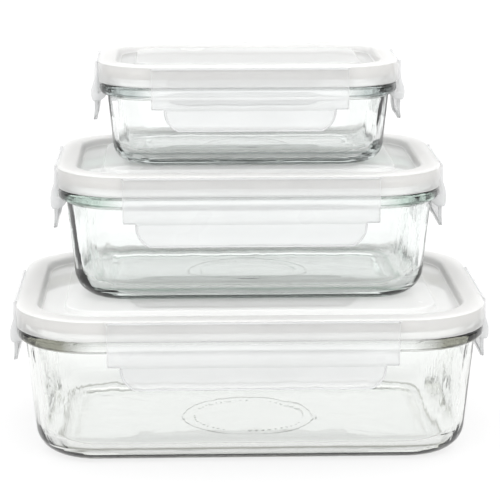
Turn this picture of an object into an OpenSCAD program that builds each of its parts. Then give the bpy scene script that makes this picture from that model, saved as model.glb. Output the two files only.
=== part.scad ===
// Stack of three lidded glass food containers.
// Each container is a glass base, a lid, a soft seal in the lid and a locking flap on each side.
// Origin: centre of the large base's footprint, on the surface it stands on. +Z up, the long front faces -Y.

/* [Large container] */
// Width over the lid
large_width = 230; // [215:1:245]
// Depth over the lid
large_depth = 160; // [152:1:175]
// Height from the foot to the top of the lid
large_height = 74; // [66:1:90]
// Radius of the lid's corners seen from above
large_corner = 40; // [38:1:44]
// Radius between the glass wall and its bottom
large_bottom_radius = 13; // [12:1:19]
// Thickness of the glass wall
large_glass = 4.2; // [3.6:0.1:4.6]
// Width of the groove round the lid's raised middle
large_groove = 12.5; // [9:0.5:14]
// Radius of the moulded ring under the base
large_ring = 33; // [24:1:36]
// Length of the front and back flaps
large_long_flap = 139; // [120:1:148]
// Length of the side flaps
large_short_flap = 68; // [50:1:76]
// From the top of the lid to where a flap narrows to its tab
large_flap_body = 22; // [21.6:0.1:23.5]
// From the top of the lid to the end of a flap's tab
large_flap_tab = 33.6; // [33.2:0.1:35.5]

/* [Medium container] */
// Width over the lid
medium_width = 190; // [180:1:200]
// Depth over the lid
medium_depth = 131; // [126:1:140]
// Height from the foot to the top of the lid
medium_height = 65; // [58:1:80]
// Radius of the lid's corners seen from above
medium_corner = 35; // [34:1:39]
// Radius between the glass wall and its bottom
medium_bottom_radius = 13; // [11:1:17]
// Thickness of the glass wall
medium_glass = 3.8; // [3.4:0.1:4.0]
// Width of the groove round the lid's raised middle
medium_groove = 12; // [9:0.5:13]
// Radius of the moulded ring under the base
medium_ring = 29; // [20:1:31]
// Length of the front and back flaps
medium_long_flap = 124; // [100:1:126]
// Length of the side flaps
medium_short_flap = 57; // [44:1:62]
// From the top of the lid to where a flap narrows to its tab
medium_flap_body = 22.8; // [21.6:0.1:23.5]
// From the top of the lid to the end of a flap's tab
medium_flap_tab = 34.6; // [33.2:0.1:35.5]
// How far the container stands back from the middle of the large one
medium_back = 14; // [0:1:14]

/* [Small container] */
// Width over the lid
small_width = 149; // [142:1:158]
// Depth over the lid
small_depth = 103; // [98:1:110]
// Height from the foot to the top of the lid
small_height = 51; // [46:1:64]
// Radius of the lid's corners seen from above
small_corner = 30; // [29:1:33]
// Radius between the glass wall and its bottom
small_bottom_radius = 10; // [9:1:13]
// Thickness of the glass wall
small_glass = 3.4; // [3.0:0.1:3.4]
// Width of the groove round the lid's raised middle
small_groove = 9; // [7:0.5:11]
// Radius of the moulded ring under the base
small_ring = 21; // [14:1:23]
// Length of the front and back flaps
small_long_flap = 96; // [76:1:98]
// Length of the side flaps
small_short_flap = 44; // [36:1:48]
// From the top of the lid to where a flap narrows to its tab
small_flap_body = 20.8; // [20.6:0.1:22]
// From the top of the lid to the end of a flap's tab
small_flap_tab = 31.8; // [31.5:0.1:33.5]
// How far the container stands back from the middle of the large one
small_back = 20; // [8:1:20]

/* [Lid] */
// Height of the skirt round the lid
skirt_height = 10.4; // [10:0.1:10.6]
// Depth of the recess inside the lid's frame
recess_depth = 3.5; // [3:0.1:4]
// How far the raised middle lies below the frame
middle_drop = 0.8; // [0.4:0.1:1.2]
// Thickness of the lid's walls
lid_wall = 1.5; // [1.2:0.1:1.6]

/* [Glass rim] */
// From the top of the lid down to the glass lip
lip_drop = 6; // [5.9:0.1:6.2]
// From the top of the lid down to the top of the flange
flange_drop = 10.8; // [10.7:0.1:11]
// Height of the flange that the flaps hook under
flange_height = 5.6; // [5:0.1:5.8]
// How far the flange stands out from the wall
flange_reach = 4; // [3.6:0.1:4.2]
// Slope of the glass wall, in degrees
wall_slope = 5.5; // [3:0.5:6]
// Thickness of the glass bottom
bottom_glass = 5; // [4:0.5:6]

/* [Flaps] */
// How much shorter the thumb tab is at each end
tab_inset = 6; // [4:0.5:8]
// Radius of the thumb tab's corners
tab_corner = 10; // [6:0.5:10]

/* [Hidden] */
$fn = 96;

glass_colour = [0.86, 0.92, 0.90];
lid_colour = [0.95, 0.95, 0.95];
seal_colour = [0.80, 0.79, 0.77];

rest_gap = 0.05;        // between a base and the lid that it stands on
flange_gap = 0.3;       // how far the flange stays inside the skirt's face
frame_least = 6;        // width of the lid's frame on a lid of no width
frame_share = 0.0235;   // what each millimetre of lid width adds to it
plug_depth = 9.5;       // from the top of the lid to the foot of the plug inside the glass
seal_gap = 0.3;         // between the seal and the glass lip
foot_height = 0.6;      // height of the foot round the hollow underside
foot_width = 3;
ring_height = 0.35;     // the moulded ring hangs this far below the hollow underside
ring_width = 1;

hinge_out = 1.15;       // the hinge line of a flap, outwards from the skirt's face
hinge_down = 1.3;       // and down from the top of the lid
bead = 0.8;             // radius of the bead along the hinge line
flap_reach = 3.9;       // how far a flap's thickest part stands out from the skirt's face
hook_reach = 3.8;       // and how far its hook reaches in under the flange

// One container: [width, depth, height, corner, bottom radius, glass, groove, ring, back, z of its foot,
//                 long flap, short flap, top to the flaps' tab, top to the tab's end]
large = [large_width, large_depth, large_height, large_corner, large_bottom_radius,
         large_glass, large_groove, large_ring, 0, 0, large_long_flap, large_short_flap,
         large_flap_body, large_flap_tab];
medium = [medium_width, medium_depth, medium_height, medium_corner, medium_bottom_radius,
          medium_glass, medium_groove, medium_ring, medium_back,
          large_height - middle_drop + rest_gap, medium_long_flap, medium_short_flap,
          medium_flap_body, medium_flap_tab];
small = [small_width, small_depth, small_height, small_corner, small_bottom_radius,
         small_glass, small_groove, small_ring, small_back,
         medium[9] + medium_height - middle_drop + rest_gap, small_long_flap, small_short_flap,
         small_flap_body, small_flap_tab];

function width(c) = c[0];
function depth(c) = c[1];
function height(c) = c[2];
function corner(c) = c[3];
function bottom_radius(c) = c[4];
function glass(c) = c[5];
function groove(c) = c[6];
function ring_radius(c) = c[7];
function back(c) = c[8];
function foot_z(c) = c[9];
function flap_length(c, long_side) = long_side ? c[10] : c[11];
function body_foot(c) = c[12];
function tab_foot(c) = c[13];
function frame_width(c) = frame_least + frame_share * width(c);

// Points on an arc round a centre, from angle a to angle b
function arc(centre, r, a, b, n = 6) =
    [for (i = [0:n]) centre + r * [cos(a + (b - a) * i / n), sin(a + (b - a) * i / n)]];

// Points on a cubic curve through p[0] and p[3], drawn towards p[1] and p[2]
function curve(p, n = 6) =
    [for (i = [0:n]) let (t = i / n, s = 1 - t)
        s * s * s * p[0] + 3 * s * s * t * p[1] + 3 * s * t * t * p[2] + t * t * t * p[3]];

// A profile carried round a rounded rectangle; its x runs outwards from the corner's centre
module sweep(c) {
    for (turn = [0:90:270]) {
        half = turn % 180 == 0 ? [width(c), depth(c)] / 2 : [depth(c), width(c)] / 2;
        rotate(turn) translate([half[0] - corner(c), half[1] - corner(c), 0]) {
            rotate_extrude(angle = 90) children();
            rotate([90, 0, 0]) linear_extrude(2 * (half[1] - corner(c))) children();
        }
    }
}

// The slab between the corners' centres, where a swept profile reaches them
module middle(c, low, high) {
    size = [width(c), depth(c)] - 2 * corner(c) * [1, 1];
    translate([-size[0] / 2, -size[1] / 2, low]) cube([size[0], size[1], high - low]);
}

module place(c) {
    translate([0, back(c), foot_z(c)]) children();
}

// Glass base: foot, rounded bottom, sloping wall, flange and the lip above it
module base_profile(c) {
    wall = corner(c) - flange_gap - flange_reach;     // outer face under the flange
    top = height(c) - flange_drop - flange_height;    // where the flange begins
    lip = height(c) - lip_drop;
    r = bottom_radius(c);
    inner_r = r - 2;
    slope = wall_slope;
    outer = [wall - (r + (top - r) * sin(slope)) / cos(slope), r];
    inner_wall = wall - glass(c) / cos(slope);
    inner_z = bottom_glass + inner_r;
    inner = [inner_wall - (inner_r + (top - inner_z) * sin(slope)) / cos(slope), inner_z];
    rim = corner(c) - flange_gap;
    round_low = 2.6;
    round_high = 1.8;
    lip_round = 1.2;
    polygon(concat(
        [[0, foot_height], [outer[0] - foot_width - foot_height, foot_height], [outer[0] - foot_width, 0]],
        arc(outer, r, -90, -slope, 10),
        [[wall, top - 0.6], [wall + 0.6, top]],
        arc([rim - round_low, top + round_low], round_low, -90, 0),
        arc([rim - round_high, top + flange_height - round_high], round_high, 0, 90),
        [[wall, top + flange_height]],
        arc([wall - lip_round, lip - lip_round], lip_round, 0, 90, 4),
        arc([inner_wall + lip_round, lip - lip_round], lip_round, 90, 180, 4),
        [[inner_wall, top]],
        arc(inner, inner_r, -slope, -90, 10),
        [[0, bottom_glass]]
    ));
}

module glass_base(c) color(glass_colour) {
    place(c) {
        sweep(c) base_profile(c);
        middle(c, foot_height, bottom_glass);
        rotate_extrude() translate([ring_radius(c) - ring_width / 2, foot_height - ring_height])
            square([ring_width, ring_height + 1]);
    }
}

// Lid: raised middle, groove, frame, skirt outside the glass and plug inside it
module lid_profile(c) {
    top = height(c);
    rim = corner(c);
    inside = rim - frame_width(c);            // inner face of the frame and of the plug
    raised = inside - groove(c);              // edge of the raised middle
    floor_z = top - recess_depth;
    middle_z = top - middle_drop;
    edge = 1;
    soft = 1.4;
    polygon(concat(
        [[0, middle_z]],
        arc([raised - 0.6, middle_z - 0.6], 0.6, 90, 0, 3),
        arc([raised + edge, floor_z + edge], edge, 180, 270, 4),
        arc([inside - edge, floor_z + edge], edge, 270, 360, 4),
        arc([inside + soft, top - soft], soft, 180, 90, 5),
        arc([rim - edge, top - edge], edge, 90, 0, 4),
        [[rim, top - skirt_height], [rim - lid_wall, top - skirt_height],
         [rim - lid_wall, top - lid_wall],
         [inside + lid_wall, top - lid_wall], [inside + lid_wall, top - plug_depth],
         [inside, top - plug_depth], [inside, floor_z - lid_wall],
         [raised - lid_wall, floor_z - lid_wall], [raised - lid_wall, middle_z - lid_wall],
         [0, middle_z - lid_wall]]
    ));
}

module lid(c) color(lid_colour) {
    place(c) {
        sweep(c) lid_profile(c);
        middle(c, height(c) - middle_drop - lid_wall, height(c) - middle_drop);
    }
}

// Seal: a soft ring under the lid's frame, with a thick band outside the glass lip
module seal_profile(c) {
    top = height(c) - lid_wall;
    out = corner(c) - lid_wall - 0.4;
    in = corner(c) - frame_width(c) + lid_wall + 0.1;
    under = height(c) - lip_drop + seal_gap;
    leg = corner(c) - flange_gap - flange_reach + 0.4;
    band_top = top - 1.8;
    band_foot = height(c) - 7.4;
    polygon(concat(
        [[in, top], [in, under], [leg, under], [leg, band_foot]],
        arc([out - 0.5, band_foot + 0.5], 0.5, -90, 0, 3),
        arc([out - 0.5, band_top - 0.5], 0.5, 0, 90, 3),
        [[out - 1.6, band_top], [out - 1.6, top]]
    ));
}

module seal(c) color(seal_colour) {
    place(c) sweep(c) seal_profile(c);
}

// Flap seen from its end: x outwards from the skirt's face, y down from the top of the lid
module flap_profile(c) {
    flange_foot = flange_drop + flange_height;
    body = body_foot(c);
    tip_round = 0.7;
    tab = tab_foot(c) - tip_round;
    polygon(concat(
        [[hinge_out + bead, hinge_down], [2.15, 8]],
        curve([[2.25, 10.5], [2.9, 12.5], [flap_reach, 14], [flap_reach, body - 4]], 7),
        curve([[flap_reach, body - 4], [flap_reach, body - 1.4], [3.4, body], [2.4, body + 0.3]], 5),
        curve([[2.2, body + 1], [1.9, body + 4], [2.0, tab - 3], [2.9, tab]], 6),
        arc([2.3, tab], tip_round, 40, 160, 3),
        curve([[1.25, tab - 1.4], [0.75, tab - 3.4], [0.6, tab - 5], [0.6, body + 1.2]], 4),
        [[0.1, body + 0.2]],
        curve([[-3, body - 1.6], [-3.5, body - 2], [-hook_reach, body - 2.5], [-hook_reach, body - 3.1]], 3),
        [[-hook_reach, flange_foot + 0.9], [0.4 - hook_reach, flange_foot + 0.5], [0.1, flange_foot + 0.5],
         [0.35, flange_foot + 0.2], [0.35, hinge_down]]
    ));
}

// Flap seen from the front: a long body with square ends, and a shorter tab with round corners
module flap_outline(c, length) {
    half = length / 2;
    end = half - tab_inset;
    body = body_foot(c);
    tab = tab_foot(c);
    polygon(concat(
        [[-half, 0], [half, 0], [half, body - 0.5], [half - 0.5, body], [end, body]],
        arc([end - tab_corner, tab - tab_corner], tab_corner, 0, 90, 8),
        arc([-end + tab_corner, tab - tab_corner], tab_corner, 90, 180, 8),
        [[-end, body], [-half + 0.5, body], [-half, body - 0.5]]
    ));
}

// Flap in its own axes: along X, hanging down from z = 0, with its outer face towards -Y
module flap_shape(c, length) {
    intersection() {
        translate([-length / 2, 0, 0]) rotate([90, 0, 90]) linear_extrude(length) rotate(180) flap_profile(c);
        translate([0, 20, 0]) rotate([90, 0, 0]) linear_extrude(40) mirror([0, 1, 0]) flap_outline(c, length);
    }
    translate([-length / 2, -hinge_out, -hinge_down]) rotate([0, 90, 0]) cylinder(r = bead, h = length);
}

// side: 0 front, 90 right, 180 back, 270 left
module flap(c, side) color(lid_colour) {
    long_side = side % 180 == 0;
    length = flap_length(c, long_side);
    out = (long_side ? depth(c) : width(c)) / 2;
    place(c) rotate(side) translate([0, -out, height(c)]) flap_shape(c, length);
}

glass_base(large);  // large_base
lid(large);  // large_lid
seal(large);  // large_seal
flap(large, 0);  // large_front_flap
flap(large, 180);  // large_back_flap
flap(large, 270);  // large_left_flap
flap(large, 90);  // large_right_flap
glass_base(medium);  // medium_base
lid(medium);  // medium_lid
seal(medium);  // medium_seal
flap(medium, 0);  // medium_front_flap
flap(medium, 180);  // medium_back_flap
flap(medium, 270);  // medium_left_flap
flap(medium, 90);  // medium_right_flap
glass_base(small);  // small_base
lid(small);  // small_lid
seal(small);  // small_seal
flap(small, 0);  // small_front_flap
flap(small, 180);  // small_back_flap
flap(small, 270);  // small_left_flap
flap(small, 90);  // small_right_flap
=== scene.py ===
import math

import bmesh
import bpy
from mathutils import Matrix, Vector
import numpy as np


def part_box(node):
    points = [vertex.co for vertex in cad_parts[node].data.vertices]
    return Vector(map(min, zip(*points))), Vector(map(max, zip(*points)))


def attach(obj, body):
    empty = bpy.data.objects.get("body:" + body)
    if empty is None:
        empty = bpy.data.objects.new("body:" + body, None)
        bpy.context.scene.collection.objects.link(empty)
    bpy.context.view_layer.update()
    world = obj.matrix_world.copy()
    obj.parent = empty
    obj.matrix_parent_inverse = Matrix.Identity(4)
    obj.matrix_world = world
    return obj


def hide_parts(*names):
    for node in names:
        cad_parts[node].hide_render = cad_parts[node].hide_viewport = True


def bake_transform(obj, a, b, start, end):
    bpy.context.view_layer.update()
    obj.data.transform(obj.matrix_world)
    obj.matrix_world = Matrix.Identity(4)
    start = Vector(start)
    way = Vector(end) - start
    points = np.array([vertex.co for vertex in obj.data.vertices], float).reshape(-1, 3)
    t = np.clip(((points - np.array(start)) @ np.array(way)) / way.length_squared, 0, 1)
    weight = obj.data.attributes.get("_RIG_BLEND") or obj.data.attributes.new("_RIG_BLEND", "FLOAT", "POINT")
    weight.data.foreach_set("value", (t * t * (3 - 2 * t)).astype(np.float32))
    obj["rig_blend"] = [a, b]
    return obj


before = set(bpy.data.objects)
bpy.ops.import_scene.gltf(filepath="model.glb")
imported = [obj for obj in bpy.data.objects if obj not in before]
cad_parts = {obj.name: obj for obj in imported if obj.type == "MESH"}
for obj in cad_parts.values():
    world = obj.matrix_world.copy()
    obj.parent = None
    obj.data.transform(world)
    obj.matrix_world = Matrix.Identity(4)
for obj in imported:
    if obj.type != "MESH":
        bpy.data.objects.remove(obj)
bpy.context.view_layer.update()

mm = 0.001
print("frame loaded:", len(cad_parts), "nodes")


# camera, floor and light
viewSet = {
    "place": (-33.7, -1043.6, 318.6),   # mm
    "down": 12.313,                     # degrees below the horizon
    "turn": 1.903,                      # degrees to the right of +Y
    "lens": 151.24, "sensor": 36,
    "nearClip": 0.05, "farClip": 60,
}


def addCamera(cfg):
    data = bpy.data.cameras.new("stackCamera")
    cam = bpy.data.objects.new("stackCamera", data)
    bpy.context.scene.collection.objects.link(cam)
    data.sensor_width = cfg["sensor"]
    data.lens = cfg["lens"]
    data.clip_start, data.clip_end = cfg["nearClip"], cfg["farClip"]
    down, turn = math.radians(cfg["down"]), math.radians(cfg["turn"])
    aim = Vector((math.sin(turn) * math.cos(down), math.cos(turn) * math.cos(down), -math.sin(down)))
    cam.location = Vector(cfg["place"]) * mm
    cam.rotation_euler = aim.to_track_quat("-Z", "Y").to_euler()
    bpy.context.scene.camera = cam


addCamera(viewSet)


# shader helpers
class Wire:  # a shader output that can be used in ordinary sums
    def __init__(self, recipe, socket):
        self.recipe, self.socket = recipe, socket

    def sum(self, kind, a, b):
        return self.recipe.node("ShaderNodeMath", {"operation": kind}, {0: a, 1: b})

    def __add__(self, other): return self.sum("ADD", self, other)
    def __radd__(self, other): return self.sum("ADD", other, self)
    def __sub__(self, other): return self.sum("SUBTRACT", self, other)
    def __rsub__(self, other): return self.sum("SUBTRACT", other, self)
    def __mul__(self, other): return self.sum("MULTIPLY", self, other)
    def __rmul__(self, other): return self.sum("MULTIPLY", other, self)


class Recipe:  # one material or world and the nodes in it
    def __init__(self, owner):
        self.owner = owner
        owner.use_nodes = True
        self.tree = owner.node_tree
        self.tree.nodes.clear()

    def node(self, kind, settings=None, inputs=None, out=0):
        made = self.tree.nodes.new(kind)
        for key, value in (settings or {}).items():
            if key == "stops":
                ramp = made.color_ramp
                while len(ramp.elements) < len(value):
                    ramp.elements.new(0.5)
                for element, (place, shade) in zip(ramp.elements, value):
                    element.position = place
                    element.color = (*shade, 1) if len(shade) == 3 else shade
            else:
                setattr(made, key, value)
        for key, value in (inputs or {}).items():
            if isinstance(value, Wire):
                self.tree.links.new(value.socket, made.inputs[key])
            else:
                made.inputs[key].default_value = value
        return Wire(self, made.outputs[out])

    def spot(self):  # object coordinates
        return self.node("ShaderNodeTexCoord", out="Object")

    def mark(self, name):  # a number stored on the mesh
        return self.node("ShaderNodeAttribute", {"attribute_name": name}, out="Fac")

    def stretch(self, vector, scale):
        return self.node("ShaderNodeMapping", {}, {"Vector": vector, "Scale": scale})

    def noise(self, vector, scale, detail=2.0, rough=0.5, bend=0.0):
        return self.node("ShaderNodeTexNoise", {}, {"Vector": vector, "Scale": scale, "Detail": detail,
                                                    "Roughness": rough, "Distortion": bend})

    def span(self, value, low, high, toLow=0.0, toHigh=1.0):
        return self.node("ShaderNodeMapRange", {}, {0: value, 1: low, 2: high, 3: toLow, 4: toHigh})

    def blendColour(self, amount, first, second):
        return self.node("ShaderNodeMix", {"data_type": "RGBA"}, {0: amount, 6: first, 7: second}, out=2)

    def bump(self, height, strength, distance, normal=None):
        inputs = {"Height": height, "Strength": strength, "Distance": distance}
        if normal is not None:
            inputs["Normal"] = normal
        return self.node("ShaderNodeBump", {}, inputs)

    def mixed(self, amount, first, second):
        return self.node("ShaderNodeMixShader", {}, {0: amount, 1: first, 2: second})

    def milky(self, body, colour, normal, soakThrough, veil):  # cloudy plastic that lets light through
        lit = self.node("ShaderNodeBsdfTranslucent", {}, {"Color": colour, "Normal": normal})
        clear = self.node("ShaderNodeBsdfTransparent")
        return self.mixed(veil, clear, self.mixed(soakThrough, body, lit))

    def finish(self, surface, volume=None):
        out = self.tree.nodes.new("ShaderNodeOutputMaterial" if isinstance(self.owner, bpy.types.Material)
                                  else "ShaderNodeOutputWorld")
        self.tree.links.new(surface.socket, out.inputs["Surface"])
        if volume is not None:
            self.tree.links.new(volume.socket, out.inputs["Volume"])
        return self.owner


# studio
studioSet = {
    "floorSize": 14.0, "floorDrop": 0.0002,
    "floorShade": (0.20, 0.20, 0.20, 1), "floorRough": 0.8, "floorShine": 0.2,
    "floorGlow": 0.74,      # a lit table keeps the shadows pale
    "power": 1.0,
    # direction's height (-1 straight down, 1 straight up, both mapped to 0..1) and its brightness
    "sky": [(0.0, 1.0), (0.50, 1.0), (0.62, 1.05), (0.78, 1.40), (1.0, 1.65)],
    # how dark the low cards at the two sides are, where each fades in, and how high they reach
    "sideCard": 0.75, "sideSpan": (0.60, 0.74), "cardTop": 0.26, "cardFade": 0.12,
    # how much brighter it is in front, where that fades in, and up to what height
    "nearGlow": 0.75, "nearSpan": (-0.25, -0.60), "nearTop": 0.80, "nearFade": 0.2,
    "farGlow": 0.25, "farSpan": (0.55, 0.80),     # and low behind
    "bounces": {"all": 24, "glossy": 12, "diffuse": 8, "clear": 48},
}


def addStudio(cfg):
    half = cfg["floorSize"] / 2
    mesh = bpy.data.meshes.new("studioFloor")
    corners = [(-half, -half, 0), (half, -half, 0), (half, half, 0), (-half, half, 0)]
    mesh.from_pydata(corners, [], [(0, 1, 2, 3)])
    floor = bpy.data.objects.new("studioFloor", mesh)
    bpy.context.scene.collection.objects.link(floor)
    floor.location.z = -cfg["floorDrop"]
    paper = Recipe(bpy.data.materials.new("paperFloor"))
    shell = paper.node("ShaderNodeBsdfPrincipled", {}, {
        "Base Color": cfg["floorShade"], "Roughness": cfg["floorRough"],
        "Specular IOR Level": cfg["floorShine"],
        "Emission Color": (1, 1, 1, 1), "Emission Strength": cfg["floorGlow"]})
    floor.data.materials.append(paper.finish(shell))

    world = bpy.data.worlds.new("studioSky")
    bpy.context.scene.world = world
    sky = Recipe(world)
    where = sky.node("ShaderNodeTexCoord", out="Generated")
    tall = sky.node("ShaderNodeSeparateXYZ", {}, {0: where}, out="Z")
    shade = sky.node("ShaderNodeValToRGB", {"stops": [(p, (b, b, b)) for p, b in cfg["sky"]]},
                     {0: tall * 0.5 + 0.5})
    wide = sky.node("ShaderNodeSeparateXYZ", {}, {0: where}, out="X")
    deep = sky.node("ShaderNodeSeparateXYZ", {}, {0: where}, out="Y")
    low = sky.span(tall, cfg["cardTop"], cfg["cardTop"] + cfg["cardFade"], 1.0, 0.0)
    side = sky.span(wide * wide, *cfg["sideSpan"]) * cfg["sideCard"]
    belowTop = sky.span(tall, cfg["nearTop"], cfg["nearTop"] + cfg["nearFade"], 1.0, 0.0)
    near = sky.span(deep, *cfg["nearSpan"]) * belowTop
    far = sky.span(deep, *cfg["farSpan"]) * cfg["farGlow"]
    lit = sky.node("ShaderNodeBackground", {}, {
        "Color": shade, "Strength": (1 + (far - side) * low + near * cfg["nearGlow"]) * cfg["power"]})
    # the backdrop itself is plain white
    plain = sky.node("ShaderNodeBackground", {}, {"Color": (1, 1, 1, 1), "Strength": 1.0})
    sky.finish(sky.mixed(sky.node("ShaderNodeLightPath", out="Is Camera Ray"), lit, plain))
    scene = bpy.context.scene
    scene.view_settings.view_transform = "Standard"
    light, bounces = scene.cycles, cfg["bounces"]     # many glass walls stand behind each other
    light.max_bounces = light.transmission_bounces = bounces["all"]
    light.glossy_bounces, light.diffuse_bounces = bounces["glossy"], bounces["diffuse"]
    light.transparent_max_bounces = bounces["clear"]


addStudio(studioSet)
print("studio ready")


# sizes that every container shares
sizes = {
    "large": {"corner": 40, "bottomRound": 13, "glass": 4.2, "groove": 12.5, "ring": 34, "bodyFoot": 22},
    "medium": {"corner": 35, "bottomRound": 13, "glass": 3.8, "groove": 12, "ring": 30, "bodyFoot": 22.8},
    "small": {"corner": 30, "bottomRound": 10, "glass": 3.4, "groove": 9, "ring": 21, "bodyFoot": 20.8},
}
shared = {
    "skirt": 10.4, "recess": 3.5, "middleDrop": 0.8, "lidWall": 1.5, "frameLeast": 6, "frameShare": 0.0235,
    "plug": 9.5, "lipDrop": 6, "flangeDrop": 10.8, "flangeTall": 5.6, "flangeReach": 4, "flangeGap": 0.3,
    "flangeRoundLow": 2.6, "flangeRoundHigh": 1.8, "lipRound": 1.2,
    "slope": 5.5, "bottom": 5, "hollow": 0.6, "footWidth": 3, "ringHalf": 0.6, "ringTall": 0.07,
    "edgeTall": 1.3, "edgePaintedShade": [0.5, 1.0, 0.6],     # the foot's edge: how high, and how much painted shade (a dark contact line) its rings get
    "hingeOut": 1.15, "hingeDown": 1.3, "bead": 0.8, "flapReach": 3.9, "hookReach": 3.8,
    "webThick": 0.34, "webThin": 0.26,
    "tabInset": 6, "tabCorner": 10, "shortTabCorner": 6,
}


def measure(title, s):  # the outer sizes come from the frame, in mm
    lidLow, lidHigh = (Vector(v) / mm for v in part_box(title + "_lid"))
    frontLow, frontHigh = (Vector(v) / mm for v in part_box(title + "_front_flap"))
    sideLow, sideHigh = (Vector(v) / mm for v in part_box(title + "_left_flap"))
    s["width"], s["depth"] = lidHigh.x - lidLow.x, lidHigh.y - lidLow.y
    s["back"] = (lidLow.y + lidHigh.y) / 2
    s["foot"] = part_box(title + "_base")[0][2] / mm
    s["height"] = lidHigh.z - s["foot"]
    s["longFlap"], s["shortFlap"] = frontHigh.x - frontLow.x, sideHigh.y - sideLow.y
    s["tabFoot"] = lidHigh.z - frontLow.z


for title, s in sizes.items():
    measure(title, s)


def arc(cx, cy, r, a, b, n=6):
    return [(cx + r * math.cos(math.radians(a + (b - a) * i / n)),
             cy + r * math.sin(math.radians(a + (b - a) * i / n))) for i in range(n + 1)]


def bezier(p, n=8):
    out = []
    for i in range(n + 1):
        t = i / n
        w = ((1 - t) ** 3, 3 * t * (1 - t) ** 2, 3 * t * t * (1 - t), t ** 3)
        out.append((sum(a * q[0] for a, q in zip(w, p)), sum(a * q[1] for a, q in zip(w, p))))
    return out


def splitLong(points, longest):  # adds points so that no step is longer than that
    out = [points[0]]
    for a, b in zip(points, points[1:]):
        n = max(1, math.ceil(math.dist(a, b) / longest))
        out += [(a[0] + (b[0] - a[0]) * i / n, a[1] + (b[1] - a[1]) * i / n) for i in range(1, n + 1)]
    return out


def track(size, cornerSteps=14, sideStep=6.0):
    # the path round a container: corner centre, direction outwards, and how far into the bend it is
    hx, hy = size["width"] / 2 - size["corner"], size["depth"] / 2 - size["corner"]
    centres = [(hx, hy), (-hx, hy), (-hx, -hy), (hx, -hy)]
    out = []
    for k in range(4):
        c = centres[k]
        for i in range(cornerSteps + 1):
            a = math.radians(90 * k + 90 * i / cornerSteps)
            out.append((c[0], c[1], math.cos(a), math.sin(a), math.sin(math.pi * i / cornerSteps)))
        d = centres[(k + 1) % 4]
        n = max(2, round(math.dist(c, d) / sideStep))
        a = math.radians(90 * (k + 1))
        for i in range(1, n):
            t = i / n
            x, y = c[0] + (d[0] - c[0]) * t, c[1] + (d[1] - c[1]) * t
            out.append((x, y, math.cos(a), math.sin(a), 0.0))
    return out


class Shell:  # gathers rings of points into one closed mesh
    def __init__(self):
        self.points, self.faces, self.marks, self.bends, self.veilsAndPaintedShade = [], [], [], [], []

    def ring(self, points, mark=0.0, bends=None, veil=1.0):
        start = len(self.points)
        self.points += points
        self.marks += [mark] * len(points)
        self.bends += bends or [0.0] * len(points)
        self.veilsAndPaintedShade += veil if isinstance(veil, list) else [veil] * len(points)
        return list(range(start, start + len(points)))

    def join(self, a, b):
        n = len(a)
        self.faces += [(a[i], a[(i + 1) % n], b[(i + 1) % n], b[i]) for i in range(n)]

    def joinAll(self, rings):
        for a, b in zip(rings, rings[1:]):
            self.join(a, b)

    def cap(self, ring, flip=False):
        self.faces.append(tuple(reversed(ring)) if flip else tuple(ring))

    def build(self, name, size, sharpBelow=None):
        mesh = bpy.data.meshes.new(name)
        dy, dz = size["back"], size["foot"]
        placed = [(x * mm, (y + dy) * mm, (z + dz) * mm) for x, y, z in self.points]
        mesh.from_pydata(placed, [], self.faces)
        # the veil mark is how milky plastic is, and on glass how much painted shade it gets
        for key, values in (("finish", self.marks), ("bend", self.bends), ("veil", self.veilsAndPaintedShade)):
            data = mesh.attributes.new(key, "FLOAT", "POINT")
            data.data.foreach_set("value", values)
        bm = bmesh.new()
        bm.from_mesh(mesh)
        bmesh.ops.remove_doubles(bm, verts=bm.verts, dist=1e-6)
        bmesh.ops.recalc_face_normals(bm, faces=bm.faces)
        for face in bm.faces:
            face.smooth = True
        if sharpBelow:
            for edge in bm.edges:
                if len(edge.link_faces) == 2 and edge.calc_face_angle(0) > math.radians(sharpBelow):
                    edge.smooth = False
        bm.to_mesh(mesh)
        bm.free()
        piece = bpy.data.objects.new(name, mesh)
        bpy.context.scene.collection.objects.link(piece)
        return piece


def wrap(shell, path, profile, marks=None, veilsAndPaintedShade=None):
    # carries a profile of (outwards, up) points round the path and returns its rings
    rings = []
    for k, (r, z) in enumerate(profile):
        pts, bends = [], []
        for cx, cy, ux, uy, bend in path:
            pts.append((cx + r * ux, cy + r * uy, z))
            bends.append(bend)
        rings.append(shell.ring(pts, marks[k] if marks else 0.0, bends, veilsAndPaintedShade[k] if veilsAndPaintedShade else 1.0))
    shell.joinAll(rings)
    return rings


# glass
glassSet = {
    "tint": (0.985, 0.995, 0.99, 1), "rough": 0.004, "roughVary": 0.02, "ior": 1.5,
    # the colour that thick glass takes, and how soon
    "soak": {"large": (0.60, 0.61, 0.55, 1), "medium": (0.60, 0.67, 0.64, 1), "small": (0.62, 0.66, 0.65, 1)},
    "soakPerMetre": 20.0,
    # painted shade: the dark colour painted on the flange's corners and on the foot's edge, its hue following
    # the glass's own tint
    "edge": {"large": (0.12, 0.12, 0.085, 1), "medium": (0.38, 0.52, 0.44, 1),
             "small": (0.36, 0.42, 0.41, 1)},
    # how far into a bend the flange's painted shade fades in
    "cornerShadeSpan": (0.05, 0.75),
    # waves left by the mould: how they are drawn out, and their height along a side and in a bend
    "slowStretch": (38, 38, 9), "slowSide": 0.35, "slowBend": 1.0,
    "fineStretch": (150, 150, 45), "fineSide": 0.05, "fineBend": 0.10,
    "floorShare": 0.12, "wave": 0.8, "waveDepth": 0.0020,
}


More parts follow.
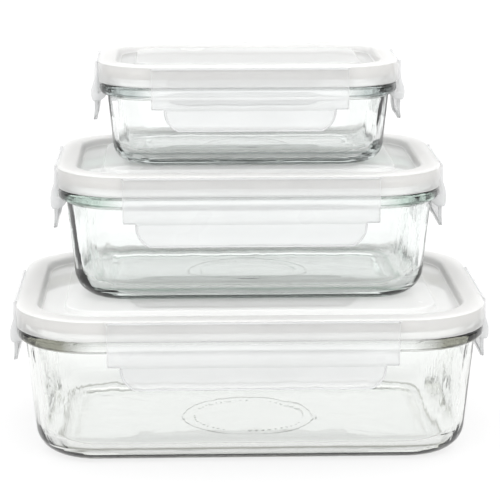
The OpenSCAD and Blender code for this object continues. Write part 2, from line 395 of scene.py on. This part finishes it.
def makeGlass(cfg, title):
    mat = Recipe(bpy.data.materials.new(title + "PressedGlass"))
    spot = mat.spot()
    bend = mat.mark("bend")
    slow = mat.noise(mat.stretch(spot, cfg["slowStretch"]), 1.0, 2.0, 0.45, 0.6)
    fine = mat.noise(mat.stretch(spot, cfg["fineStretch"]), 1.0, 3.0, 0.5, 0.3)
    upright = mat.mark("finish")
    streaks = ((slow - 0.5) * (cfg["slowSide"] + bend * cfg["slowBend"])
               + (fine - 0.5) * (cfg["fineSide"] + bend * cfg["fineBend"]))
    streaks = streaks * (cfg["floorShare"] + upright * (1 - cfg["floorShare"]))
    skin = mat.bump(streaks, cfg["wave"], cfg["waveDepth"])
    haze = mat.span(mat.noise(spot, 60, 4, 0.6), 0.35, 0.85, cfg["rough"], cfg["rough"] + cfg["roughVary"])
    # painted shade: the flange is painted dark where it goes round a corner, and so is the foot's edge all
    # the way round
    paintedShade = mat.mark("veil") * (1 - upright + upright * mat.span(bend, *cfg["cornerShadeSpan"]))
    shell = mat.node("ShaderNodeBsdfPrincipled", {}, {
        "Base Color": mat.blendColour(paintedShade, cfg["tint"], cfg["edge"][title]), "Roughness": haze,
        "IOR": cfg["ior"], "Transmission Weight": 1.0, "Normal": skin})
    soak = mat.node("ShaderNodeVolumeAbsorption", {}, {
        "Color": cfg["soak"][title], "Density": cfg["soakPerMetre"]})
    return mat.finish(shell, soak)


def glassProfile(s, c):
    wall = s["corner"] - c["flangeGap"] - c["flangeReach"]
    top = s["height"] - c["flangeDrop"] - c["flangeTall"]
    lip = s["height"] - c["lipDrop"]
    r, sl = s["bottomRound"], c["slope"]
    sn, cs = math.sin(math.radians(sl)), math.cos(math.radians(sl))
    innerR = r - 2
    ox = wall - (r + (top - r) * sn) / cs
    innerWall = wall - s["glass"] / cs
    iz = c["bottom"] + innerR
    ix = innerWall - (innerR + (top - iz) * sn) / cs
    rim = s["corner"] - c["flangeGap"]
    low, high, soft = c["flangeRoundLow"], c["flangeRoundHigh"], c["lipRound"]
    flangeTop, straight = top + c["flangeTall"], arc(ox, r, r, -sl, -sl, 1)[0]
    footEdge = ox - c["footWidth"] + 0.4
    outside = (
        [(1, c["hollow"]), (2, c["hollow"])]
        + bezier([(2.5, c["hollow"]), (footEdge - 3, c["hollow"]), (footEdge - 3, 0), (footEdge, 0)], 8)
        + arc(ox, r, r, -90, -sl, 16)
        + splitLong([straight, (wall - 0.12, top - 1.4)], 6)[1:]
        + bezier([(wall - 0.12, top - 1.4), (wall, top - 0.5), (wall + 0.5, top), (rim - low, top)], 6)[1:]
        + arc(rim - low, top + low, low, -90, 0, 7)[1:]
        + arc(rim - high, flangeTop - high, high, 0, 90, 6)
        + bezier([(wall + 1.0, flangeTop), (wall + 0.2, flangeTop),
                  (wall, flangeTop + 0.2), (wall, flangeTop + 1.0)], 4)
        + arc(wall - soft, lip - soft, soft, 0, 90, 5))
    innerStraight = arc(ix, iz, innerR, -sl, -sl, 1)[0]
    inside = (
        arc(innerWall + soft, lip - soft, soft, 90, 180, 5)
        + splitLong([(innerWall, lip - soft), (innerWall, top + 2), innerStraight], 6)[1:]
        + arc(ix, iz, innerR, -sl, -90, 16)[1:]
        + [(ix - 2, c["bottom"]), (1, c["bottom"])])
    return outside, inside


def buildGlass(name, s, c):
    shell = Shell()
    path = track(s, 14, 3.0)
    outside, inside = glassProfile(s, c)
    upright = [1.0 if z > s["bottomRound"] * 0.5 else 0.0 for _, z in outside + inside]
    wall = s["corner"] - c["flangeGap"] - c["flangeReach"]
    top = s["height"] - c["flangeDrop"] - c["flangeTall"]
    # painted shade: dark on the flange's outer face round the corners, and on the rings at the foot's edge
    paintedShade = [1.0 if r > wall + 0.6 and top + 0.1 < z < top + c["flangeTall"] else 0.0 for r, z in outside]
    foot = [i for i, (_, z) in enumerate(outside) if z < c["edgeTall"]][-1]
    paintedShade[foot - 2:foot + 1] = c["edgePaintedShade"]
    rings = wrap(shell, path, outside + inside, upright, paintedShade + [0.0] * len(inside))
    shell.cap(rings[-1])                                   # floor inside
    # underside: from the rounded oblong to a raised ring in the middle
    first = rings[0]
    angles = [math.atan2(shell.points[i][1], shell.points[i][0]) for i in first]
    last = first
    wide, tall = c["ringHalf"], c["ringTall"]
    for share in (4, 1, 0.75, 0.5, 0.25, 0, -0.25, -0.5, -0.75, -1, -4):
        r = s["ring"] + share * wide
        z = c["hollow"] - tall / 2 * (1 + math.cos(math.pi * min(1, abs(share))))
        nextRing = shell.ring([(r * math.cos(a), r * math.sin(a), z) for a in angles], veil=0.0)
        shell.join(nextRing, last)
        last = nextRing
    shell.cap(last, True)
    return shell.build(name, s)


# lid plastic
lidSet = {
    "colour": (0.965, 0.965, 0.96, 1), "shade": (0.94, 0.94, 0.935, 1),
    "roughFrosted": 0.48, "roughGlossy": 0.26, "ior": 1.46,
    "veilFrame": 0.90, "veilSkirt": 0.55, "veilUnder": 0.22,     # how milky each face looks
    "veilMiddle": 0.62, "soakThrough": 0.45,
    "cloudScale": 22, "cloudRough": 0.08,
    "grainScale": 1500, "grainStrength": 0.25, "grainDepth": 0.00012, "grainPolished": 0.85,
    "flowStretch": (30, 160, 60), "flowStrength": 0.12, "flowDepth": 0.0006,
}


def makeLidPlastic(cfg):
    mat = Recipe(bpy.data.materials.new("lidPlastic"))
    spot = mat.spot()
    glossy = mat.mark("finish")
    cloud = mat.noise(spot, cfg["cloudScale"], 3, 0.5)
    grain = mat.noise(spot, cfg["grainScale"], 2, 0.6)
    flow = mat.noise(mat.stretch(spot, cfg["flowStretch"]), 1.0, 2, 0.5, 0.4)
    colour = mat.blendColour(mat.span(cloud, 0.35, 0.7), cfg["colour"], cfg["shade"])
    rough = mat.span(glossy, 0, 1, cfg["roughFrosted"], cfg["roughGlossy"])
    rough = rough + (cloud - 0.5) * cfg["cloudRough"]
    grainHeight = grain * (1 - glossy * cfg["grainPolished"])
    grainSkin = mat.bump(grainHeight, cfg["grainStrength"], cfg["grainDepth"])
    skin = mat.bump(flow, cfg["flowStrength"], cfg["flowDepth"], grainSkin)
    shell = mat.node("ShaderNodeBsdfPrincipled", {}, {
        "Base Color": colour, "Roughness": rough, "IOR": cfg["ior"], "Normal": skin})
    return mat.finish(mat.milky(shell, colour, skin, cfg["soakThrough"], mat.mark("veil")))


def lidProfile(s, c, cfg):
    top, rim = s["height"], s["corner"]
    frameWide = c["frameLeast"] + c["frameShare"] * s["width"]
    inside = rim - frameWide
    raised = inside - s["groove"]
    floorZ, midZ, wall = top - c["recess"], top - c["middleDrop"], c["lidWall"]
    upper = ([(2, midZ)] + [(raised - 3, midZ)] + arc(raised - 0.8, midZ - 0.8, 0.8, 90, 20, 4)
             + arc(raised + 1.2, floorZ + 1.0, 1.0, 200, 270, 4)
             + arc(inside - 1.2, floorZ + 1.2, 1.2, 270, 350, 5)
             + arc(inside + 2.0, top - 1.6, 1.6, 170, 90, 6)
             + [(inside + 3.2, top)]
             + arc(rim - 1.0, top - 1.0, 1.0, 90, 0, 6)
             + splitLong([(rim, top - 1.0), (rim, top - c["skirt"] + 0.35)], 3)[1:]
             + arc(rim - 0.35, top - c["skirt"] + 0.35, 0.35, 0, -90, 3)[1:])
    marks = [1.0, 1.0] + [1.0] * 5 + [0.35] * 5 + [0.0] * (len(upper) - 12)
    veilsAndPaintedShade = [cfg["veilSkirt"] if r > rim - 0.3 and z < top - 0.6 else
             cfg["veilMiddle"] if r < inside - 1 else cfg["veilFrame"] for r, z in upper]
    under = ([(rim - wall + 0.3, top - c["skirt"]), (rim - wall, top - c["skirt"] + 0.3)]
             + [(rim - wall, top - wall - 0.6)]
             + arc(rim - wall - 0.6, top - wall - 0.6, 0.6, 0, 90, 3)[1:]
             + arc(inside + wall + 0.6, top - wall - 0.6, 0.6, 90, 180, 3)
             + [(inside + wall, top - c["plug"] + 0.5)]
             + arc(inside + wall / 2, top - c["plug"] + 0.5, wall / 2, 0, -180, 6)[1:]
             + [(inside, floorZ - wall - 0.5)] + [(inside - 0.5, floorZ - wall)]
             + [(raised - wall + 0.9, floorZ - wall), (raised - wall + 0.2, floorZ - wall + 0.3),
                (raised - wall, midZ - wall - 0.4), (raised - wall - 0.6, midZ - wall), (2, midZ - wall)])
    return upper + under, marks + [0.0] * len(under), veilsAndPaintedShade + [cfg["veilUnder"]] * len(under)


def buildLid(name, s, c, cfg):
    shell = Shell()
    path = track(s)
    profile, marks, veilsAndPaintedShade = lidProfile(s, c, cfg)
    rings = wrap(shell, path, profile, marks, veilsAndPaintedShade)
    shell.cap(rings[0])
    shell.cap(rings[-1], True)
    return shell.build(name, s, 50)


# seal
sealSet = {"colour": (0.38, 0.37, 0.35, 1), "shade": (0.34, 0.33, 0.31, 1), "rough": 0.55, "roughVary": 0.12}


def makeSilicone(cfg):
    mat = Recipe(bpy.data.materials.new("softSilicone"))
    spot = mat.spot()
    cloud = mat.noise(spot, 35, 3, 0.5)
    colour = mat.blendColour(mat.span(cloud, 0.35, 0.7), cfg["colour"], cfg["shade"])
    skin = mat.bump(mat.noise(spot, 900, 2, 0.5), 0.2, 0.0001)
    shell = mat.node("ShaderNodeBsdfPrincipled", {}, {
        "Base Color": colour, "Normal": skin,
        "Roughness": mat.span(cloud, 0.3, 0.8, cfg["rough"], cfg["rough"] + cfg["roughVary"])})
    return mat.finish(shell)


def buildSeal(name, s, c):
    top = s["height"] - c["lidWall"] - 0.05
    out = s["corner"] - c["lidWall"] - 0.15
    frameWide = c["frameLeast"] + c["frameShare"] * s["width"]
    inn = s["corner"] - frameWide + c["lidWall"] + 0.15
    under = s["height"] - c["lipDrop"] + 0.1
    leg = s["corner"] - c["flangeGap"] - c["flangeReach"] + 0.15
    bandTop, bandFoot = s["height"] - 2.7, s["height"] - 6.8
    profile = ([(inn, top), (inn, under), (leg - 0.3, under), (leg, under - 0.3), (leg, bandFoot + 0.3),
                (leg + 0.3, bandFoot)]
               + arc(out - 0.6, bandFoot + 0.6, 0.6, -90, 0, 4)
               + arc(out - 0.6, bandTop - 0.6, 0.6, 0, 90, 4)
               + [(out - 1.6, bandTop + 0.1), (out - 1.6, top)])
    shell = Shell()
    rings = wrap(shell, track(s), profile)
    shell.join(rings[-1], rings[0])
    return shell.build(name, s, 50)


# flaps
flapSet = {
    "colour": (0.75, 0.755, 0.76, 1), "shade": (0.71, 0.715, 0.72, 1),
    "rough": 0.30, "ior": 1.46, "flare": 1.6, "edgeRound": 0.28, "edgeBead": 0.42, "beadInset": 0.55,
    "veilTop": 0.20, "veilLow": 0.50, "veilInner": 0.22, "veilEdge": 0.85, "veilBead": 0.9,
    "soakThrough": 0.25,
}


def makeFlapPlastic(cfg):
    mat = Recipe(bpy.data.materials.new("flapPlastic"))
    spot = mat.spot()
    cloud = mat.noise(spot, 30, 3, 0.5)
    grain = mat.noise(spot, 1300, 2, 0.6)
    colour = mat.blendColour(mat.span(cloud, 0.35, 0.7), cfg["colour"], cfg["shade"])
    skin = mat.bump(grain, 0.2, 0.0001)
    shell = mat.node("ShaderNodeBsdfPrincipled", {}, {
        "Base Color": colour, "IOR": cfg["ior"], "Normal": skin,
        "Roughness": mat.span(cloud, 0.3, 0.8, cfg["rough"] - 0.04, cfg["rough"] + 0.08)})
    return mat.finish(mat.milky(shell, colour, skin, cfg["soakThrough"], mat.mark("veil")))


def flapFaces(s, c):
    # outer and inner outline of a flap seen from its end: outwards from the skirt, down from the lid's top
    ho, hd, bead, reach, hook = c["hingeOut"], c["hingeDown"], c["bead"], c["flapReach"], c["hookReach"]
    flangeFoot = c["flangeDrop"] + c["flangeTall"]
    body, tab = s["bodyFoot"], s["tabFoot"]
    outer = ([(ho + bead * math.sin(a), hd - bead * math.cos(a)) for a in (0.3, 0.7, 1.1, 1.5708)]
             + [(2.15, 8)] + bezier([(2.25, 10.5), (2.9, 12.5), (reach, 14), (reach, body - 4)], 8)
             + bezier([(reach, body - 4), (reach, body - 1.6), (3.3, body - 0.1), (2.3, body + 0.3)], 8)[1:]
             + bezier([(2.15, body + 1), (2.0, body + 4), (2.0, tab - 4), (2.75, tab - 0.9)], 8)
             + [(2.8, tab - 0.6), (2.7, tab - 0.25), (2.4, tab - 0.05)])
    inner = ([(ho - bead * math.sin(a), hd - bead * math.cos(a)) for a in (0.3, 0.7, 1.1, 1.5708)]
             + [(0.36, 9), (0.35, flangeFoot + 0.2), (0.1, flangeFoot + 0.49),
                (0.5 - hook, flangeFoot + 0.51), (0.1 - hook, flangeFoot + 0.8), (-hook, flangeFoot + 1.2)]
             + bezier([(-hook, body - 3.8), (-hook, body - 2.2), (-2.2, body - 1.2), (0.1, body + 0.3)], 6)
             + bezier([(0.5, body + 1.2), (0.5, tab - 5), (0.55, tab - 4), (1.15, tab - 1)], 7)
             + [(1.3, tab - 0.5), (1.6, tab - 0.2), (1.95, tab - 0.05)])
    return outer, inner


def across(line, v):  # how far out an outline stands at height v
    for (u0, v0), (u1, v1) in zip(line, line[1:]):
        if v0 <= v <= v1:
            return u0 if v1 == v0 else u0 + (u1 - u0) * (v - v0) / (v1 - v0)
    return line[-1][0] if v > line[-1][1] else line[0][0]


def flapLength(side, s):
    return s["longFlap"] if side in ("front", "back") else s["shortFlap"]


def tabCorner(half, s, c):  # the short flaps' tabs are rounded more tightly
    return c["tabCorner"] if half > s["longFlap"] / 2 - 1 else c["shortTabCorner"]


def halfLength(v, half, s, c, cfg):  # half of the flap's length at height v
    body, tab, end = s["bodyFoot"], s["tabFoot"], half - c["tabInset"]
    corner = tabCorner(half, s, c)
    if v < 4:
        return half - 0.05 + cfg["flare"] * max(0.0, 1 - v / 4) ** 2.2
    if v <= body - 0.6:
        return half
    if v <= body:
        return half - 0.6 + math.sqrt(max(0, 0.36 - (v - body + 0.6) ** 2))
    bend = v - (tab - corner)
    if bend <= 0:
        return end
    return end - corner + math.sqrt(max(0.0, corner ** 2 - bend ** 2))


def flapSide(side, s):
    # turns (along, outwards, down) on a side into x, y, z within the container
    hx, hy = s["width"] / 2, s["depth"] / 2
    return {
        "front": lambda a, u, v: (a, -hy - u, s["height"] - v),
        "back": lambda a, u, v: (-a, hy + u, s["height"] - v),
        "left": lambda a, u, v: (-hx - u, -a, s["height"] - v),
        "right": lambda a, u, v: (hx + u, a, s["height"] - v),
    }[side]


def buildFlap(name, s, c, cfg, side):
    length = flapLength(side, s)
    half = length / 2
    outer, inner = flapFaces(s, c)
    levels = sorted({round(v, 4) for _, v in outer + inner})
    body, tab = s["bodyFoot"], s["tabFoot"]
    levels += [body - 0.6, body - 0.3, body - 0.1, body, body + 0.02]
    levels += [tab - tabCorner(half, s, c) * (1 - math.sin(math.radians(a))) for a in range(0, 91, 9)]
    levels += [2, 3, 4, 6, 12, 14]
    levels = sorted({round(v, 3) for v in levels if outer[0][1] <= v <= tab - 0.05})
    place = flapSide(side, s)
    n = max(8, round(length / 7))
    shell = Shell()
    rings = []
    for v in levels:
        w = halfLength(v, half, s, c, cfg)
        uo, ui = across(outer, v), across(inner, v)
        soft = min(cfg["edgeRound"], (uo - ui) * 0.45)
        part = soft * 0.3
        row = [(-w + soft + (2 * w - 2 * soft) * i / n, uo) for i in range(n + 1)]
        row += [(w - part, uo - part), (w, uo - soft), (w, ui + soft), (w - part, ui + part)]
        row += [(w - soft - (2 * w - 2 * soft) * i / n, ui) for i in range(n + 1)]
        row += [(-w + part, ui + part), (-w, ui + soft), (-w, uo - soft), (-w + part, uo - part)]
        low = min(1.0, max(0.0, (v - 10) / 3))
        outFace = cfg["veilTop"] + (cfg["veilLow"] - cfg["veilTop"]) * low
        inFace = cfg["veilInner"] * (0.4 + 0.6 * low)
        veil = [outFace] * (n + 1) + [cfg["veilEdge"]] * 4 + [inFace] * (n + 1) + [cfg["veilEdge"]] * 4
        rings.append(shell.ring([place(a, u, v) for a, u in row], veil=veil))
    shell.joinAll(rings)
    shell.cap(rings[0])
    shell.cap(rings[-1], True)
    return shell.build(name, s, 60)


# the raised line along a thumb tab's edge, swept along its outline
def edgeBeadTree():
    tree = bpy.data.node_groups.new("tabEdgeBead", "GeometryNodeTree")
    face = tree.interface
    face.new_socket("Path", in_out="INPUT", socket_type="NodeSocketGeometry")
    for label, value in (("Radius", 0.4), ("Sides", 8)):
        kind = "NodeSocketInt" if label == "Sides" else "NodeSocketFloat"
        face.new_socket(label, in_out="INPUT", socket_type=kind).default_value = value
    face.new_socket("Plastic", in_out="INPUT", socket_type="NodeSocketMaterial")
    face.new_socket("Bead", in_out="OUTPUT", socket_type="NodeSocketGeometry")
    nodes, links = tree.nodes, tree.links
    start, end = nodes.new("NodeGroupInput"), nodes.new("NodeGroupOutput")
    toCurve = nodes.new("GeometryNodeMeshToCurve")
    circle = nodes.new("GeometryNodeCurvePrimitiveCircle")
    sweep = nodes.new("GeometryNodeCurveToMesh")
    smooth = nodes.new("GeometryNodeSetShadeSmooth")
    real = nodes.new("GeometryNodeRealizeInstances")
    coat = nodes.new("GeometryNodeSetMaterial")
    sweep.inputs["Fill Caps"].default_value = True
    links.new(start.outputs["Path"], toCurve.inputs[0])
    links.new(start.outputs["Sides"], circle.inputs["Resolution"])
    links.new(start.outputs["Radius"], circle.inputs["Radius"])
    links.new(toCurve.outputs[0], sweep.inputs["Curve"])
    links.new(circle.outputs[0], sweep.inputs["Profile Curve"])
    links.new(sweep.outputs[0], smooth.inputs[0])
    links.new(smooth.outputs[0], real.inputs[0])
    links.new(real.outputs[0], coat.inputs["Geometry"])
    links.new(start.outputs["Plastic"], coat.inputs["Material"])
    links.new(coat.outputs[0], end.inputs[0])
    return tree


def setInput(modifier, label, value):
    for item in modifier.node_group.interface.items_tree:
        if item.item_type == "SOCKET" and item.in_out == "INPUT" and item.name == label:
            modifier[item.identifier] = value


def bakeTree(name, points, edges, tree, values):
    # runs a geometry tree on a line of points and returns the plain mesh object
    mesh = bpy.data.meshes.new(name + "Path")
    mesh.from_pydata(points, edges, [])
    carrier = bpy.data.objects.new(name, mesh)
    bpy.context.scene.collection.objects.link(carrier)
    modifier = carrier.modifiers.new("tree", "NODES")
    modifier.node_group = tree
    for label, value in values.items():
        setInput(modifier, label, value)
    bpy.context.view_layer.update()
    shaped = carrier.evaluated_get(bpy.context.evaluated_depsgraph_get())
    result = bpy.data.meshes.new_from_object(shaped)
    carrier.modifiers.clear()
    carrier.data = result
    return carrier


def buildEdgeBead(name, s, c, cfg, side, tree, material):
    half = flapLength(side, s) / 2
    outer, _ = flapFaces(s, c)
    place = flapSide(side, s)
    inset = cfg["beadInset"]
    start, stop = s["bodyFoot"] + 0.9, s["tabFoot"] - inset
    rise = [(halfLength(v, half, s, c, cfg) - inset, v)
            for v in [start + (stop - start) * math.sin(math.radians(a)) for a in range(0, 91, 6)]]
    tail = rise[-1][0]
    n = max(4, round(2 * tail / 8))
    line = rise + [(tail - 2 * tail * i / n, stop) for i in range(1, n)]
    line += [(-a, v) for a, v in reversed(rise)]
    pts = []
    for a, v in line:
        x, y, z = place(a, across(outer, v) - 0.05, v)
        pts.append((x * mm, (y + s["back"]) * mm, (z + s["foot"]) * mm))
    return bakeTree(name, pts, [(i, i + 1) for i in range(len(pts) - 1)], tree,
                    {"Radius": cfg["edgeBead"] * mm, "Sides": 8, "Plastic": material})


def buildWeb(name, s, c, side):
    # the thin web that joins a flap to the lid's top edge
    length = flapLength(side, s) - 1
    place = flapSide(side, s)
    shell = Shell()
    n = max(8, round(length / 7))
    rings = []
    for u in (-0.5, -0.2, 0.1, 0.35, 0.6, 0.85):
        thin = c["webThick"] if u < 0.1 or u > 0.3 else c["webThin"]
        low, high = c["hingeDown"] + thin, c["hingeDown"] - thin
        row = [(-length / 2 + length * i / n, u, high) for i in range(n + 1)]
        row += [(length / 2 - length * i / n, u, low) for i in range(n + 1)]
        rings.append(shell.ring([place(*p) for p in row]))
    shell.joinAll(rings)
    shell.cap(rings[0])
    shell.cap(rings[-1], True)
    return shell.build(name, s, 60)


# marks under the glass
markSet = {
    "count": 52, "seed": 7, "inset": 6, "long": 1.7, "wide": 1.6, "tall": 0.9,
    "group": 13, "drawn": 10,      # a gap of three follows each ten
    # veil: painted shade, how far the foot marks are painted toward the glass's dark edge colour
    "least": (0.8, 0.35, 1), "most": (1.2, 1.25, 1), "sunk": 0.12, "veil": 0.35,
}


def markTree(cfg):
    tree = bpy.data.node_groups.new("footMarks", "GeometryNodeTree")
    face = tree.interface
    face.new_socket("Seat", in_out="INPUT", socket_type="NodeSocketGeometry")
    for label, kind, value in (("Count", "NodeSocketInt", 26), ("Radius", "NodeSocketFloat", 0.028),
                               ("Length", "NodeSocketFloat", 0.003), ("Width", "NodeSocketFloat", 0.001),
                               ("Height", "NodeSocketFloat", 0.0003),
                               ("Place", "NodeSocketVector", (0, 0, 0)), ("Seed", "NodeSocketInt", 7)):
        face.new_socket(label, in_out="INPUT", socket_type=kind).default_value = value
    face.new_socket("Glass", in_out="INPUT", socket_type="NodeSocketMaterial")
    face.new_socket("Marks", in_out="OUTPUT", socket_type="NodeSocketGeometry")
    nodes, links = tree.nodes, tree.links
    start, end = nodes.new("NodeGroupInput"), nodes.new("NodeGroupOutput")
    ring = nodes.new("GeometryNodeMeshCircle")
    links.new(start.outputs["Count"], ring.inputs["Vertices"])
    links.new(start.outputs["Radius"], ring.inputs["Radius"])
    size = nodes.new("ShaderNodeCombineXYZ")
    links.new(start.outputs["Width"], size.inputs["X"])
    links.new(start.outputs["Length"], size.inputs["Y"])
    links.new(start.outputs["Height"], size.inputs["Z"])
    pebble = nodes.new("GeometryNodeMeshIcoSphere")
    pebble.inputs["Radius"].default_value = 0.5
    pebble.inputs["Subdivisions"].default_value = 2
    dash = nodes.new("GeometryNodeTransform")
    links.new(pebble.outputs[0], dash.inputs["Geometry"])
    links.new(size.outputs[0], dash.inputs["Scale"])
    order = nodes.new("GeometryNodeInputIndex")
    group, inGroup = nodes.new("ShaderNodeMath"), nodes.new("FunctionNodeCompare")
    group.operation, inGroup.operation = "MODULO", "LESS_THAN"
    group.inputs[1].default_value, inGroup.inputs["B"].default_value = cfg["group"], cfg["drawn"]
    spread = nodes.new("GeometryNodeInstanceOnPoints")
    links.new(order.outputs[0], group.inputs[0])
    links.new(group.outputs[0], inGroup.inputs["A"])
    links.new(inGroup.outputs[0], spread.inputs["Selection"])
    links.new(ring.outputs[0], spread.inputs["Points"])
    links.new(dash.outputs[0], spread.inputs["Instance"])
    spotNode = nodes.new("GeometryNodeInputPosition")
    aim = nodes.new("FunctionNodeAlignRotationToVector")
    aim.axis = "X"
    aim.pivot_axis = "Z"
    links.new(spotNode.outputs[0], aim.inputs["Vector"])
    links.new(aim.outputs[0], spread.inputs["Rotation"])
    vary = nodes.new("FunctionNodeRandomValue")
    vary.data_type = "FLOAT_VECTOR"
    vary.inputs["Min"].default_value = cfg["least"]
    vary.inputs["Max"].default_value = cfg["most"]
    links.new(start.outputs["Seed"], vary.inputs["Seed"])
    links.new(vary.outputs["Value"], spread.inputs["Scale"])
    shift = nodes.new("GeometryNodeTransform")
    links.new(spread.outputs[0], shift.inputs["Geometry"])
    links.new(start.outputs["Place"], shift.inputs["Translation"])
    real = nodes.new("GeometryNodeRealizeInstances")
    coat = nodes.new("GeometryNodeSetMaterial")
    links.new(shift.outputs[0], real.inputs[0])
    links.new(real.outputs[0], coat.inputs["Geometry"])
    links.new(start.outputs["Glass"], coat.inputs["Material"])
    links.new(coat.outputs[0], end.inputs[0])
    return tree


def mergeInto(piece, other, veil):
    # adds the other object's mesh to a piece and removes the object; the added part's veil mark is set as
    # given: how milky it is on plastic, how much painted shade it gets on glass
    bm = bmesh.new()
    bm.from_mesh(piece.data)
    own = len(bm.verts)
    bm.from_mesh(other.data)
    bm.verts.ensure_lookup_table()
    layer = bm.verts.layers.float["veil"]
    for vert in bm.verts[own:]:
        vert[layer] = veil
    bm.to_mesh(piece.data)
    bm.free()
    bpy.data.objects.remove(other)


# everything together
lidPlastic = makeLidPlastic(lidSet)
flapPlastic = makeFlapPlastic(flapSet)
silicone = makeSilicone(sealSet)
beadTree, marksTree = edgeBeadTree(), markTree(markSet)
print("materials ready")


def settle(piece, material, body, slotName, *nodes):
    piece.data.materials.clear()
    piece.data.materials.append(material)
    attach(piece, body)
    if nodes:
        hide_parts(*nodes)


for title, s in sizes.items():
    glass = makeGlass(glassSet, title)
    bowl = buildGlass(title + "Bowl", s, shared)
    seat = (0, s["back"] * mm, (s["foot"] + shared["hollow"] - markSet["sunk"]) * mm)
    marks = bakeTree(title + "FootMarks", [(0, 0, 0)], [], marksTree, {
        "Count": markSet["count"], "Radius": (s["ring"] - markSet["inset"]) * mm,
        "Length": markSet["long"] * mm, "Width": markSet["wide"] * mm, "Height": markSet["tall"] * mm,
        "Seed": markSet["seed"], "Place": seat, "Glass": glass})
    mergeInto(bowl, marks, markSet["veil"])
    settle(bowl, glass, title + "_base", "glass", title + "_base")
    lid = buildLid(title + "LidShell", s, shared, lidSet)
    settle(lid, lidPlastic, title + "_lid", "lid_plastic", title + "_lid")
    seal = buildSeal(title + "SealRing", s, shared)
    settle(seal, silicone, title + "_lid", "seal", title + "_seal")
    for side in ("front", "back", "left", "right"):
        body = f"{title}_{side}_flap"
        name = title + side.title()
        flap = buildFlap(name + "Flap", s, shared, flapSet, side)
        bead = buildEdgeBead(name + "Bead", s, shared, flapSet, side, beadTree, flapPlastic)
        mergeInto(flap, bead, flapSet["veilBead"])
        settle(flap, flapPlastic, body, "flap_plastic", body)
        web = buildWeb(name + "Web", s, shared, side)
        web.data.materials.append(flapPlastic)
        place, base = flapSide(side, s), Vector((0, s["back"], s["foot"]))
        ends = [Vector(place(0, u, shared["hingeDown"])) + base for u in (-0.1, 0.9)]
        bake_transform(web, title + "_lid", body, start=tuple(ends[0] * mm), end=tuple(ends[1] * mm))
    print(title, "container ready")
